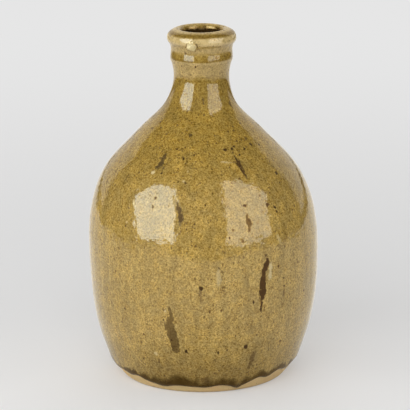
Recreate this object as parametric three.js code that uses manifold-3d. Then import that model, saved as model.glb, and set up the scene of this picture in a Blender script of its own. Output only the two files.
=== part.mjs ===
// Celadon bottle: a thrown stoneware flask with a collared neck and a rolled lip.
// It is glazed inside and out, down to a bare foot ring.
// Lengths are in millimetres and angles in degrees, counted from the front (-Y) towards +X.
// +Z is up and the foot ring stands on z = 0.
// Outlines are drawn in a half plane: x is the distance from the axis, y is the height.

import * as THREE from 'three';
import { mergeVertices } from 'three/addons/utils/BufferGeometryUtils.js';
import Module from 'manifold-3d';

// Foot, trimmed on the wheel: a ring round a shallow recess
const FOOT_RADIUS = 54.4;
const FOOT_ARRIS_WIDTH = 3.4;
const FOOT_ARRIS_HEIGHT = 2.2;
const FOOT_RING_WIDTH = 8;
const FOOT_RECESS_DEPTH = 4.5;
const FOOT_RECESS_ROUND = 2.5;

// Outside of the clay, each height counted from the one before
const BELLY_RADIUS = 70.7;
const LOWER_WALL_HEIGHT = 86.4;
const SHOULDER_HEIGHT = 102.4;
const NECK_RADIUS = 16.8;
const NECK_FLARE = 2;
const NECK_FLARE_HEIGHT = 10.2;
const COLLAR_BAND_HEIGHT = 6.8;
const LIP_OVERHANG = 2.15;
const LIP_OVERHANG_HEIGHT = 6;
const LIP_DOME_HEIGHT = 5.1;

// Thickness of the clay, which leaves the hollow
const FLOOR_THICKNESS = 8;
const FLOOR_CORNER_WIDTH = 26.4;
const BELLY_WALL = 5.6;
const NECK_WALL = 4.6;
const SHOULDER_DROP = 2.5;
const MOUTH_WALL = 5.2;
const MOUTH_ROUND_WIDTH = 1.6;
const MOUTH_ROUND_HEIGHT = 5.6;
const MOUTH_BAND_HEIGHT = 8;

// Fullness of each turn: the share of its curve's height or width that the curve's handle spans
const FOOT_LEAN = 0.746;
const FOOT_FULLNESS = 0.329;
const BELLY_FULLNESS = 0.547;
const SHOULDER_FULLNESS = 0.592;
const NECK_FULLNESS = 0.356;
const UNDERCUT_FULLNESS = 0.7;
const LIP_FULLNESS = 0.35;
const BOWL_FULLNESS = 0.62;
const FLOOR_FULLNESS = 0.8;
const EASY_TURN = 0.5;

// Glaze coats, with the gap that parts each coat from what it lies on
const SEAT_GAP = 0.3;
const OUTER_COAT = 0.6;
const LINING_COAT = 0.6;

// Lower edge of the outer coat: a bead along a tilted dip line, with runs that crept further down
const GLAZE_LINE_HEIGHT = 4.3;
const GLAZE_LINE_RISE = 3.2;
const GLAZE_EDGE_ZONE = 12;
const GLAZE_EDGE_STEPS = [0, 0.05, 0.13, 0.3, 0.6, 1];
const GLAZE_TOE = 0.2;
const GLAZE_BEAD = 1.1;
const GLAZE_BEAD_HEIGHT = 1.6;
const GLAZE_BEAD_FADE = 4;
const GLAZE_RUNS = [
  { angle: -33, width: 8, height: 2 },
  { angle: 0, width: 5, height: 3.2 },
  { angle: 22, width: 7, height: 1.3 },
  { angle: 108, width: 12, height: 3 },
  { angle: 171, width: 9, height: 3.6 },
  { angle: -124, width: 10, height: 2.6 },
];

// Crumb of kiln grit, fused on under the lip
const GRIT_ANGLE = -18;
const GRIT_BELOW_LIP = 2.6;
const GRIT_WIDTH = 5.6;
const GRIT_HEIGHT = 4.6;
const GRIT_DEPTH = 3.4;
const GRIT_SUNK = 0.15;
const GRIT_LUMPS = 0.07;
const GRIT_LUMP_PITCH = 7;
const GRIT_DETAIL = 3;
const UNIT_LUMP_RADIUS = 0.5;

// Fineness of the facets
const FACETS_AROUND = 40;
const OUTSIDE_SAG = 0.26;
const INSIDE_SAG = 0.4;
const CHORD_PROBES = [0.25, 0.5, 0.75];

// Radii and heights that follow
const footRestRadius = FOOT_RADIUS - FOOT_ARRIS_WIDTH;
const footRingInnerRadius = footRestRadius - FOOT_RING_WIDTH;
const collarRadius = NECK_RADIUS + NECK_FLARE;
const mouthRadius = collarRadius - MOUTH_WALL;
const crestRadius = mouthRadius + MOUTH_ROUND_WIDTH;
const bellyHeight = FOOT_ARRIS_HEIGHT + LOWER_WALL_HEIGHT;
const neckHeight = bellyHeight + SHOULDER_HEIGHT;
const collarRidgeHeight = neckHeight + NECK_FLARE_HEIGHT;
const collarTopHeight = collarRidgeHeight + COLLAR_BAND_HEIGHT;
const lipHeight = collarTopHeight + LIP_OVERHANG_HEIGHT;
const crestHeight = lipHeight + LIP_DOME_HEIGHT;
const mouthBandHeight = crestHeight - MOUTH_ROUND_HEIGHT;
const floorHeight = FOOT_RECESS_DEPTH + FLOOR_THICKNESS;

const QUARTER_TURN = Math.PI / 2;
const FULL_CIRCLE = 360;

const at = (radius, height) => new THREE.Vector2(radius, height);
const line = (start, end) => new THREE.LineCurve(start, end);

// A wall that leaves its start at a lean, upright when the lean is 0, and arrives upright
function wall(start, end, startFullness, endFullness, lean = 0) {
  const run = end.x - start.x;
  const rise = end.y - start.y;
  const startHandle = at(start.x + lean * run, start.y + startFullness * rise);
  const endHandle = at(end.x, end.y - endFullness * rise);
  return new THREE.CubicBezierCurve(start, startHandle, endHandle, end);
}

// A quarter of an ellipse, from one angle down or up to another
function quarter(centre, width, height, from, to) {
  return new THREE.EllipseCurve(centre.x, centre.y, width, height, from, to, to < from);
}

// Points along a curve, which is halved until no chord sags more than allowed
function sample(curve, allowedSag, from = 0, to = 1) {
  const start = curve.getPoint(from);
  const end = curve.getPoint(to);
  const along = end.clone().sub(start).normalize();
  const sags = CHORD_PROBES.map((share) => {
    const bulge = curve.getPoint(from + share * (to - from)).sub(start);
    return Math.abs(along.cross(bulge));
  });
  if (Math.max(...sags) < allowedSag) return [start, end];
  const middle = (from + to) / 2;
  const firstHalf = sample(curve, allowedSag, from, middle);
  return [...firstHalf, ...sample(curve, allowedSag, middle, to).slice(1)];
}

// Joins curves, each starting where the one before ends, into one run of points
function outline(curves, allowedSag) {
  return curves.flatMap((curve, i) => sample(curve, allowedSag).slice(i === 0 ? 0 : 1));
}

// The way out of the clay at each point, long enough that moved edges keep parallel
function mitres(points) {
  const normals = points.slice(1).map((point, i) => {
    const along = point.clone().sub(points[i]).normalize();
    return at(along.y, -along.x);
  });
  return points.map((_, i) => {
    const before = normals[Math.max(i - 1, 0)];
    const after = normals[Math.min(i, normals.length - 1)];
    return before.clone().add(after).divideScalar(1 + before.dot(after));
  });
}

// Points moved out of the clay by a distance, the same for all or one for each
function moved(points, ways, distance) {
  const far = typeof distance === 'number' ? () => distance : distance;
  return points.map((point, i) => point.clone().addScaledVector(ways[i], far(i)));
}

// A closed skin between two distances from the clay
function coat(points, ways, innerDistance, outerDistance) {
  const outer = moved(points, ways, outerDistance);
  const inner = moved(points, ways, innerDistance).reverse();
  return [...outer, ...inner, outer[0].clone()];
}

// Merges shared corners and drops the triangles that a point on the axis collapses
function closed(geometry) {
  geometry.deleteAttribute('normal');
  geometry.deleteAttribute('uv');
  const merged = mergeVertices(geometry);
  const corners = merged.index.array;
  const kept = [];
  for (let i = 0; i < corners.length; i += 3) {
    const [a, b, c] = corners.slice(i, i + 3);
    if (a !== b && b !== c && c !== a) kept.push(a, b, c);
  }
  merged.setIndex(kept);
  return merged;
}

// Turns an outline about the axis; the outline may differ from one angle to the next
function turned(outlineAt) {
  const geometry = new THREE.LatheGeometry(outlineAt(0), FACETS_AROUND);
  const positions = geometry.getAttribute('position');
  for (let step = 0; step <= FACETS_AROUND; step += 1) {
    const turn = (step % FACETS_AROUND) / FACETS_AROUND;
    const angle = 2 * Math.PI * turn;
    const points = outlineAt(FULL_CIRCLE * turn);
    points.forEach((point, i) => {
      const x = point.x * Math.sin(angle);
      const z = point.x * Math.cos(angle);
      positions.setXYZ(step * points.length + i, x, point.y, z);
    });
  }
  geometry.rotateX(QUARTER_TURN);
  return closed(geometry);
}

function mesh(name, geometry, color, roughness) {
  geometry.computeVertexNormals();
  const material = new THREE.MeshStandardMaterial({ color, roughness, metalness: 0 });
  const piece = new THREE.Mesh(geometry, material);
  piece.name = name;
  return piece;
}

// Clay outside, from the face that stands on the table up over the lip and down the mouth
const foot = at(FOOT_RADIUS, FOOT_ARRIS_HEIGHT);
const belly = at(BELLY_RADIUS, bellyHeight);
const neck = at(NECK_RADIUS, neckHeight);
const collarRidge = at(collarRadius, collarRidgeHeight);
const collarTop = at(collarRadius, collarTopHeight);
const lip = at(collarRadius + LIP_OVERHANG, lipHeight);
const mouth = at(mouthRadius, mouthBandHeight);
const mouthFoot = at(mouthRadius, mouthBandHeight - MOUTH_BAND_HEIGHT);

const lowerWall = wall(foot, belly, FOOT_FULLNESS, BELLY_FULLNESS, FOOT_LEAN);
const footLean = lowerWall.getTangent(0);
const arrisHandle = at(foot.x - foot.y * footLean.x / footLean.y, 0);
const arris = new THREE.QuadraticBezierCurve(at(footRestRadius, 0), arrisHandle, foot);
const shoulder = wall(belly, neck, SHOULDER_FULLNESS, NECK_FULLNESS);
const flareHandle = at(NECK_RADIUS, neckHeight + EASY_TURN * NECK_FLARE_HEIGHT);
const neckFlare = new THREE.QuadraticBezierCurve(neck, flareHandle, collarRidge);
const undercut = wall(collarTop, lip, UNDERCUT_FULLNESS, LIP_FULLNESS);
const dome = quarter(at(crestRadius, lipHeight), lip.x - crestRadius, LIP_DOME_HEIGHT, 0, QUARTER_TURN);
const mouthRoundCentre = at(crestRadius, mouthBandHeight);
const mouthRound = quarter(
  mouthRoundCentre, MOUTH_ROUND_WIDTH, MOUTH_ROUND_HEIGHT, QUARTER_TURN, 2 * QUARTER_TURN,
);

const outsideFace = outline([
  arris, lowerWall, shoulder, neckFlare, line(collarRidge, collarTop), undercut,
  dome, mouthRound, line(mouth, mouthFoot),
], OUTSIDE_SAG);
const outsideWays = mitres(outsideFace);

// Clay inside, from the mouth down to the middle of the floor
const throat = at(NECK_RADIUS - NECK_WALL, neckHeight - SHOULDER_DROP);
const innerBelly = at(BELLY_RADIUS - BELLY_WALL, bellyHeight);
const floorEdge = at(FOOT_RADIUS - FLOOR_CORNER_WIDTH, floorHeight);
const bowlHandle = at(innerBelly.x, innerBelly.y - BOWL_FULLNESS * (innerBelly.y - floorHeight));
const floorHandle = at(floorEdge.x + FLOOR_FULLNESS * (innerBelly.x - floorEdge.x), floorHeight);

const insideFace = outline([
  wall(mouthFoot, throat, EASY_TURN, EASY_TURN),
  wall(throat, innerBelly, NECK_FULLNESS, SHOULDER_FULLNESS),
  new THREE.CubicBezierCurve(innerBelly, bowlHandle, floorHandle, floorEdge),
  line(floorEdge, at(0, floorHeight)),
], INSIDE_SAG);

// Clay underneath, from the middle of the recess out to the ring
const recessEdge = footRingInnerRadius - FOOT_RECESS_ROUND;
const recessRoundCentre = at(recessEdge, FOOT_RECESS_DEPTH - FOOT_RECESS_ROUND);
const underFace = outline([
  line(at(0, FOOT_RECESS_DEPTH), at(recessEdge, FOOT_RECESS_DEPTH)),
  quarter(recessRoundCentre, FOOT_RECESS_ROUND, FOOT_RECESS_ROUND, QUARTER_TURN, 0),
  line(at(footRingInnerRadius, recessRoundCentre.y), at(footRingInnerRadius, 0)),
  line(at(footRingInnerRadius, 0), at(footRestRadius, 0)),
], OUTSIDE_SAG);

function stonewareBody() {
  const points = [...underFace, ...outsideFace.slice(1), ...insideFace.slice(1)];
  return mesh('stoneware_body', turned(() => points), 0xcdb78c, 0.85);
}

// Height of the outer coat's lower edge at an angle
function glazeEdgeHeight(angle) {
  const tilt = (1 - Math.cos(THREE.MathUtils.degToRad(angle))) / 2;
  const dipLine = GLAZE_LINE_HEIGHT + GLAZE_LINE_RISE * tilt;
  return GLAZE_RUNS.reduce((height, run) => {
    const turnTo = THREE.MathUtils.euclideanModulo(angle - run.angle, FULL_CIRCLE);
    const away = Math.min(turnTo, FULL_CIRCLE - turnTo);
    const strength = Math.exp(-((away / run.width) ** 2));
    return height + strength * (run.height - dipLine);
  }, dipLine);
}

// The point of the outside face, and its way out, at a height on the lower wall
function onLowerWall(height) {
  const next = outsideFace.findIndex((point) => point.y > height);
  const start = outsideFace[next - 1];
  const share = (height - start.y) / (outsideFace[next].y - start.y);
  return {
    point: start.clone().lerp(outsideFace[next], share),
    way: outsideWays[next - 1].clone().lerp(outsideWays[next], share),
  };
}

// Thickness of the outer coat above its lower edge: a rounded bead that thins to the even coat
function outerCoatThickness(aboveEdge) {
  const roll = Math.sqrt(1 - (1 - Math.min(aboveEdge / GLAZE_BEAD_HEIGHT, 1)) ** 2);
  const pastBead = Math.max(aboveEdge - GLAZE_BEAD_HEIGHT, 0);
  const bead = OUTER_COAT + (GLAZE_BEAD - OUTER_COAT) * Math.exp(-pastBead / GLAZE_BEAD_FADE);
  return GLAZE_TOE + (bead - GLAZE_TOE) * roll;
}

function outerGlaze() {
  const zoneTop = GLAZE_LINE_HEIGHT + GLAZE_LINE_RISE + GLAZE_EDGE_ZONE;
  const firstAbove = outsideFace.findIndex((point) => point.y > zoneTop);
  const outlineAt = (angle) => {
    const edge = glazeEdgeHeight(angle);
    const heights = GLAZE_EDGE_STEPS.map((share) => edge + share * (zoneTop - edge));
    const zone = heights.map(onLowerWall);
    const points = [...zone.map((place) => place.point), ...outsideFace.slice(firstAbove)];
    const ways = [...zone.map((place) => place.way), ...outsideWays.slice(firstAbove)];
    const thickness = (i) => outerCoatThickness(i < heights.length ? heights[i] - edge : Infinity);
    return coat(points, ways, SEAT_GAP, (i) => SEAT_GAP + thickness(i));
  };
  return mesh('outer_glaze', turned(outlineAt), 0xa08c4e, 0.12);
}

function innerGlaze() {
  const [top, below] = insideFace;
  const step = below.clone().sub(top).setLength(SEAT_GAP);
  const points = [top.clone().add(step), ...insideFace.slice(1)];
  const ways = mitres(points);
  const skin = coat(points, ways, SEAT_GAP, SEAT_GAP + LINING_COAT);
  return mesh('inner_glaze', turned(() => skin), 0x6b5a2c, 0.15);
}

// Kiln grit: a lumpy ellipsoid, cut back to the glaze that it is fused to
const wasm = await Module();
wasm.setup();

function toManifold(geometry) {
  const vertProperties = Float32Array.from(geometry.getAttribute('position').array);
  const triVerts = Uint32Array.from(geometry.index.array);
  return new wasm.Manifold(new wasm.Mesh({ numProp: 3, vertProperties, triVerts }));
}

function fromManifold(solid) {
  const { vertProperties, triVerts } = solid.getMesh();
  const geometry = new THREE.BufferGeometry();
  geometry.setAttribute('position', new THREE.BufferAttribute(vertProperties, 3));
  geometry.setIndex(new THREE.BufferAttribute(triVerts, 1));
  return geometry;
}

function kilnGrit() {
  const lump = closed(new THREE.IcosahedronGeometry(UNIT_LUMP_RADIUS, GRIT_DETAIL));
  const positions = lump.getAttribute('position');
  const corner = new THREE.Vector3();
  for (let i = 0; i < positions.count; i += 1) {
    corner.fromBufferAttribute(positions, i);
    const { x, y, z } = corner.clone().multiplyScalar(GRIT_LUMP_PITCH);
    corner.multiplyScalar(1 + GRIT_LUMPS * (Math.sin(x + 2 * y) + Math.sin(y - 2 * z)));
    positions.setXYZ(i, corner.x, corner.y, corner.z);
  }
  const height = lipHeight - GRIT_BELOW_LIP;
  const next = outsideFace.findIndex((point) => point.y > height);
  const glazeRadius = outsideFace[next].x + SEAT_GAP + OUTER_COAT;
  lump.scale(GRIT_WIDTH, GRIT_DEPTH, GRIT_HEIGHT);
  lump.translate(0, GRIT_SUNK - glazeRadius, height);
  lump.rotateZ(THREE.MathUtils.degToRad(GRIT_ANGLE));

  const crest = outsideFace.findIndex((point) => point.y >= crestHeight);
  const glazed = moved(outsideFace, outsideWays, SEAT_GAP + OUTER_COAT + SEAT_GAP);
  const neckFace = glazed.slice(glazed.findIndex((point) => point.y > neckHeight), crest + 1);
  const plug = [at(0, neckFace[0].y), ...neckFace, at(0, neckFace.at(-1).y)];
  const cut = toManifold(lump).subtract(toManifold(turned(() => plug)));
  return mesh('kiln_grit', fromManifold(cut), 0xd8cba4, 0.6);
}

const bottle = new THREE.Group();
bottle.name = 'celadon_bottle';
bottle.add(stonewareBody(), outerGlaze(), innerGlaze(), kilnGrit());

export default bottle;
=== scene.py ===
# %% [markdown]
# # A celadon bottle: thrown, dipped and fired
#
# The bottle is four things: a body of buff stoneware thrown on the wheel, a thick olive glaze
# outside, a second glaze that lines it, and one crumb of kiln grit that fell on the neck and
# fused there. The solids come packed with their sizes settled, so this lesson only dresses
# them: a finer mesh for each piece at the same place, and a finish for each surface. The first
# cell loads the solids.

import math
import random

import bmesh
import bpy
from mathutils import Matrix, Vector, geometry, noise


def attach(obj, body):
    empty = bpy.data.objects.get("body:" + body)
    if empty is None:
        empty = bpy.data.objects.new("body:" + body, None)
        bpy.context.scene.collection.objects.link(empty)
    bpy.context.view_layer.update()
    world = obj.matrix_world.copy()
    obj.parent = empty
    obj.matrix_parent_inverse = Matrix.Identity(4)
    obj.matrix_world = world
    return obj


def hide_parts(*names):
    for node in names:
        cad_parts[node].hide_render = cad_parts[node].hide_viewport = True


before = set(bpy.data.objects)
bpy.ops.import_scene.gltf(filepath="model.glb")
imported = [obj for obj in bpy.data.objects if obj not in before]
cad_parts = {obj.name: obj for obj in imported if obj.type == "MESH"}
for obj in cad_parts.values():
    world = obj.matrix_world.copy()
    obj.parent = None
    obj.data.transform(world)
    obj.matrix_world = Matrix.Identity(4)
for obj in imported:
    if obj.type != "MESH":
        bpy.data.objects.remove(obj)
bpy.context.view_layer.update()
print("packed pieces:", sorted(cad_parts))

# %% [markdown]
# ## The camera
#
# A long lens from far away keeps the pot's curve, and the foot doesn't shrink. This camera
# stands 1.8 m in front, looks down by about 15 degrees and shows both the foot and a sliver of
# the mouth. The frame is square, so the sensor's width decides the scale. It is also turned by
# half a degree, as in the picture.

# %% Camera
SENSOR_WIDTH = 36.0
LENS = 263.4
CAMERA_PLACE = Vector((0.0012, -1.819, 0.5797))
CAMERA_AIM = Vector((0.0012, 0.0, 0.10695))
CAMERA_ROLL = -0.45

camera_data = bpy.data.cameras.new("camera")
camera_data.sensor_width = SENSOR_WIDTH
camera_data.lens = LENS
camera = bpy.data.objects.new("camera", camera_data)
bpy.context.scene.collection.objects.link(camera)
towards_pot = (CAMERA_AIM - CAMERA_PLACE).to_track_quat("-Z", "Y").to_matrix().to_4x4()
roll = Matrix.Rotation(math.radians(CAMERA_ROLL), 4, "Z")
camera.matrix_world = Matrix.Translation(CAMERA_PLACE) @ towards_pot @ roll
bpy.context.scene.camera = camera
bpy.context.scene.view_settings.view_transform = "Standard"
print("camera looks down by", round(90 - math.degrees(camera.rotation_euler.x), 1), "degrees")

# %% [markdown]
# ## Short names for shader nodes
#
# A finish is a net of small nodes. These helpers make a node, set its fields and fill its
# sockets in one call. A value that is itself a socket is wired, and anything else is typed in.

# %% Helpers for shader nodes
def feed(tree, socket, value):
    if isinstance(value, bpy.types.NodeSocket):
        tree.links.new(value, socket)
    else:
        socket.default_value = value


def fill(tree, made, inputs):
    for name, value in inputs.items():
        feed(tree, made.inputs[name], value)
    return made


def node(tree, kind, inputs=None, **fields):
    made = tree.nodes.new("ShaderNode" + kind)
    for field, value in fields.items():
        setattr(made, field, value)
    return fill(tree, made, inputs or {})


def sums(tree, operation, *values, clamp=False):
    made = node(tree, "Math", operation=operation, use_clamp=clamp)
    for socket, value in zip(made.inputs, values):
        feed(tree, socket, value)
    return made.outputs[0]


def times(tree, first, second):
    return sums(tree, "MULTIPLY", first, second)


def times_plus(tree, value, factor, added):
    return sums(tree, "MULTIPLY_ADD", value, factor, added)


def larger(tree, first, second):
    return sums(tree, "MAXIMUM", first, second)


def vector_sums(tree, operation, *values, result="Vector"):
    made = node(tree, "VectorMath", operation=operation)
    for socket, value in zip(made.inputs, values):
        feed(tree, socket, value)
    return made.outputs[result]


def ramp(tree, value, low, high, start=0.0, end=1.0):
    """Rises smoothly from start to end while the value goes from low to high."""
    ends = {"Value": value, "From Min": low, "From Max": high, "To Min": start, "To Max": end}
    return node(tree, "MapRange", ends, interpolation_type="SMOOTHSTEP").outputs[0]


def mixed(tree, share, first, second, way="MIX"):
    made = node(tree, "Mix", data_type="RGBA", blend_type=way)
    for socket, value in zip((0, 6, 7), (share, first, second)):
        feed(tree, made.inputs[socket], value)
    return made.outputs[2]


print("node helpers are ready")

# %% [markdown]
# ## The studio: room, table and lamps
#
# Glossy glaze is a mirror for the room, so the room matters as much as the glaze. This one is
# a dark studio with a pale backdrop behind the pot, a white table under it and a tall softbox
# at each side. A world shader can answer each kind of ray by itself: the camera sees the pale
# backdrop, the glaze sees a dark room with a warmer backdrop behind it, and matt light gets an
# even, low level. Nothing is added for it to the light that falls on the pot.

# %% World
BACKDROP = 0.79
BACKDROP_IN_GLAZE = (0.88, 0.82, 0.72, 1)
ROOM_IN_GLAZE = (0.035, 0.034, 0.030, 1)
BACKDROP_AZIMUTH = 177.0
BACKDROP_HALF_WIDTH = 57.0
BACKDROP_SOFTNESS = 0.03
AMBIENT = 0.34


def direction(azimuth, elevation=0.0):
    """A unit vector from the pot: azimuth 0 is the front, 90 the right-hand side."""
    a, e = math.radians(azimuth), math.radians(elevation)
    return Vector((math.sin(a) * math.cos(e), -math.cos(a) * math.cos(e), math.sin(e)))


world = bpy.data.worlds.new("studio")
bpy.context.scene.world = world
world.use_nodes = True
tree = world.node_tree
tree.nodes.clear()
rays = node(tree, "LightPath").outputs
looking = node(tree, "TexCoord").outputs["Generated"]
behind = vector_sums(tree, "DOT_PRODUCT", looking, direction(BACKDROP_AZIMUTH), result="Value")
edge = math.cos(math.radians(BACKDROP_HALF_WIDTH))
lit = ramp(tree, behind, edge - BACKDROP_SOFTNESS, edge + BACKDROP_SOFTNESS)
in_glaze = mixed(tree, lit, ROOM_IN_GLAZE, BACKDROP_IN_GLAZE)
seen = mixed(tree, rays["Is Glossy Ray"], (AMBIENT, AMBIENT, AMBIENT, 1), in_glaze)
seen = mixed(tree, rays["Is Camera Ray"], seen, (BACKDROP, BACKDROP, BACKDROP, 1))
background = node(tree, "Background", {"Color": seen, "Strength": 1.0}).outputs[0]
node(tree, "OutputWorld", {"Surface": background})
print("world:", len(tree.nodes), "nodes")

# %% [markdown]
# The table is one plain disc. Near the pot it is real: matt, lit by the lamps, with the
# pot's soft shadow. Far away it turns into the backdrop's own light, so there is no horizon.
# A little glow lifts it, more in front of the pot than behind. In the glaze it shows as a
# white sheet with edges of its own, shaded close to the foot, most in front of it. An
# emission that only answers camera or glossy rays does both, and throws no light on the pot.

# %% Table
TABLE_RADIUS = 16.0
TABLE_DROP = 0.0001
TABLE_COLOUR = (0.58, 0.577, 0.57, 1)
TABLE_LIFT_FRONT = (0.30, 0.30, 0.303, 1)
TABLE_LIFT_BACK = (0.225, 0.226, 0.23, 1)
TABLE_FADE_START = 0.2
TABLE_FADE_END = 1.1
TABLE_IN_GLAZE = (1.0, 0.95, 0.84, 1)
TABLE_FRONT = 0.38
TABLE_FLARE = 0.65
TABLE_HALF_WIDTH = 0.85
TABLE_EDGE_SOFTNESS = 0.07
TABLE_LIFT_CHANGE = (-0.12, 0.16)
TABLE_SHADE = 0.3
TABLE_SHADE_FROM = 0.05
TABLE_SHADE_REACH = 0.24
TABLE_SHADE_SHAPE = (1.9, 1, 1)


def shown(bm, name):
    """Turns a bmesh into a new object at the origin."""
    mesh = bpy.data.meshes.new(name)
    bm.to_mesh(mesh)
    bm.free()
    piece = bpy.data.objects.new(name, mesh)
    bpy.context.scene.collection.objects.link(piece)
    return piece


def new_finish(name):
    """A new material with its node tree and its Principled shader."""
    made = bpy.data.materials.new(name)
    made.use_nodes = True
    return made, made.node_tree, made.node_tree.nodes["Principled BSDF"]


bm = bmesh.new()
bmesh.ops.create_circle(bm, cap_ends=True, segments=96, radius=TABLE_RADIUS)
bmesh.ops.translate(bm, verts=bm.verts, vec=(0, 0, -TABLE_DROP))
table = shown(bm, "table")

finish, tree, shader = new_finish("white_table")
rays = node(tree, "LightPath").outputs
place = node(tree, "TexCoord").outputs["Object"]
away = vector_sums(tree, "LENGTH", place, result="Value")
far = ramp(tree, away, TABLE_FADE_START, TABLE_FADE_END)
sides = node(tree, "SeparateXYZ", {"Vector": place}).outputs
out = sums(tree, "ABSOLUTE", sides["X"])
ahead = times_plus(tree, out, TABLE_FLARE, sides["Y"])
front = ramp(tree, ahead, -TABLE_FRONT - TABLE_EDGE_SOFTNESS, -TABLE_FRONT + TABLE_EDGE_SOFTNESS)
beside = ramp(tree, out, TABLE_HALF_WIDTH + TABLE_EDGE_SOFTNESS, TABLE_HALF_WIDTH - TABLE_EDGE_SOFTNESS)
narrow = vector_sums(tree, "MULTIPLY", place, TABLE_SHADE_SHAPE)
narrow = vector_sums(tree, "LENGTH", narrow, result="Value")
shaded = ramp(tree, narrow, TABLE_SHADE_FROM, TABLE_SHADE_REACH, TABLE_SHADE, 1.0)
on_table = times(tree, times(tree, front, beside), shaded)
mirrored = mixed(tree, on_table, ROOM_IN_GLAZE, TABLE_IN_GLAZE)
lift = mixed(tree, ramp(tree, sides["Y"], *TABLE_LIFT_CHANGE), TABLE_LIFT_FRONT, TABLE_LIFT_BACK)
lift = mixed(tree, far, lift, (BACKDROP, BACKDROP, BACKDROP, 1))
glow = mixed(tree, rays["Is Camera Ray"], (0, 0, 0, 1), lift)
glow = mixed(tree, rays["Is Glossy Ray"], glow, mirrored)
plain = times(tree, far, rays["Is Camera Ray"])
plain = larger(tree, plain, rays["Is Glossy Ray"])
matt = mixed(tree, plain, TABLE_COLOUR, (0, 0, 0, 1))
fill(tree, shader, {"Base Color": matt, "Emission Color": glow, "Emission Strength": 1.0})
fill(tree, shader, {"Roughness": 1.0, "Specular IOR Level": 0.0})
table.data.materials.append(finish)
print("table:", len(tree.nodes), "nodes")

# %% [markdown]
# Two sets of lamps do two jobs. The matt light comes from wide, dim lamps that gloss doesn't
# see: one near the camera, one from each side, and three from behind, so that the back isn't
# dull when the pot is turned. Each has an azimuth and an elevation, a level, which is the
# share of full light that it gives a surface that faces it, and a size in metres.

# %% Matt lamps
POT_MIDDLE = Vector((0, 0, 0.11))
MATT_DISTANCE = 2.2
MATT_LAMPS = [
    ("camera_side", -6, 30, 0.42, 1.5),
    ("left", -50, 28, 0.21, 1.4),
    ("right", 50, 28, 0.045, 1.4),
    ("left_behind", -112, 12, 0.19, 1.3),
    ("right_behind", 112, 12, 0.12, 1.3),
    ("behind", 176, 35, 0.30, 1.8),
]

for name, azimuth, elevation, level, size in MATT_LAMPS:
    data = bpy.data.lights.new("matt_" + name, "AREA")
    data.size = size
    data.energy = level * (math.pi * MATT_DISTANCE) ** 2
    made = bpy.data.objects.new(data.name, data)
    bpy.context.scene.collection.objects.link(made)
    place = POT_MIDDLE + MATT_DISTANCE * direction(azimuth, elevation)
    facing = (POT_MIDDLE - place).to_track_quat("-Z", "Y").to_matrix().to_4x4()
    made.matrix_world = Matrix.Translation(place) @ facing
    made.visible_camera = False
    made.visible_glossy = False
print("matt lamps:", len(MATT_LAMPS))

# %% [markdown]
# The softboxes are bright panels that only the glaze's gloss sees, as the pale windows on the
# belly and neck. Each has the outline of a box half hidden by its stand, in metres across and
# up, and its own tint: the left one cool, the right one warm and dimmer.

# %% Softboxes
SOFTBOX_DISTANCE = 1.5
SOFTBOXES = [
    ("left", -53, 6.1, (0.9, 1.0, 0.96), [
        (-0.40, 0.06), (-0.50, 0.31), (-0.89, 0.83), (-0.29, 1.72),
        (0.33, 1.93), (0.62, 0.90), (0.72, 0.06)]),
    ("right", 50, 3.7, (1.0, 0.95, 0.82), [
        (-0.74, 0.06), (-0.66, 1.27), (-0.26, 2.81), (0.95, 1.15), (0.56, 0.54), (0.52, 0.06)]),
]

for name, azimuth, radiance, tint, outline in SOFTBOXES:
    out = SOFTBOX_DISTANCE * direction(azimuth)
    across = direction(azimuth + 90)
    bm = bmesh.new()
    corners = [bm.verts.new(out + x * across + Vector((0, 0, z))) for x, z in outline]
    bm.faces.new(corners)
    box = shown(bm, "softbox_" + name)
    box.visible_camera = False
    box.visible_diffuse = False
    box.visible_shadow = False
    finish, tree, shader = new_finish(box.name)
    fill(tree, shader, {"Base Color": (0, 0, 0, 1), "Specular IOR Level": 0.0})
    fill(tree, shader, {"Emission Color": (*tint, 1), "Emission Strength": radiance})
    box.data.materials.append(finish)
print("softboxes:", len(SOFTBOXES))

# %% [markdown]
# ## The wall that was thrown
#
# A thrown pot is one outline turned about the wheel's axis, so its whole shape can be written
# as a few smooth bends. Each bend here is a Bezier curve between two points, with a handle at
# each end that says how far the wall keeps its direction. The sizes are the solid's own, in
# millimetres, so the finer meshes lie exactly where the solids do.

# %% Sizes of the pot, in millimetres
MM = 0.001
COAT = 0.9
FOOT_REST_RADIUS = 51.0
FOOT_RING_WIDTH = 8.0
FOOT_RECESS_DEPTH = 4.5
FOOT_RECESS_ROUND = 2.5
FOOT = Vector((54.4, 2.2))
BELLY = Vector((70.7, 88.6))
NECK = Vector((16.8, 191.0))
COLLAR_RIDGE = Vector((18.8, 201.2))
COLLAR_TOP = Vector((18.55, 208.0))
LIP = Vector((20.95, 214.0))
CREST = Vector((15.2, 219.1))
MOUTH = Vector((13.6, 213.5))
MOUTH_FOOT = Vector((13.6, 205.5))
THROAT = Vector((12.2, 188.5))
INNER_BELLY = Vector((65.1, 88.6))
FLOOR_EDGE = Vector((28.0, 12.5))
ROUND = 0.5523


def bend(start, start_handle, end_handle, end, steps):
    return geometry.interpolate_bezier(start, start_handle, end_handle, end, steps + 1)


def wall(start, end, start_fullness, end_fullness, steps, lean=0.0):
    """A wall that leaves its start at a lean, upright when that is 0, and arrives upright."""
    run, rise = end - start
    start_handle = start + Vector((lean * run, start_fullness * rise))
    return bend(start, start_handle, end - Vector((0, end_fullness * rise)), end, steps)


def quarter(start, corner, end, steps):
    """A quarter round, drawn towards the corner where its two tangents meet."""
    return bend(start, start.lerp(corner, ROUND), end.lerp(corner, ROUND), end, steps)


def straight(start, end, steps):
    return [start.lerp(end, step / steps) for step in range(steps + 1)]


def joined(*runs):
    """Bends one after the other, with each shared point kept once."""
    return [point for i, run in enumerate(runs) for point in run[min(i, 1):]]


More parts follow.
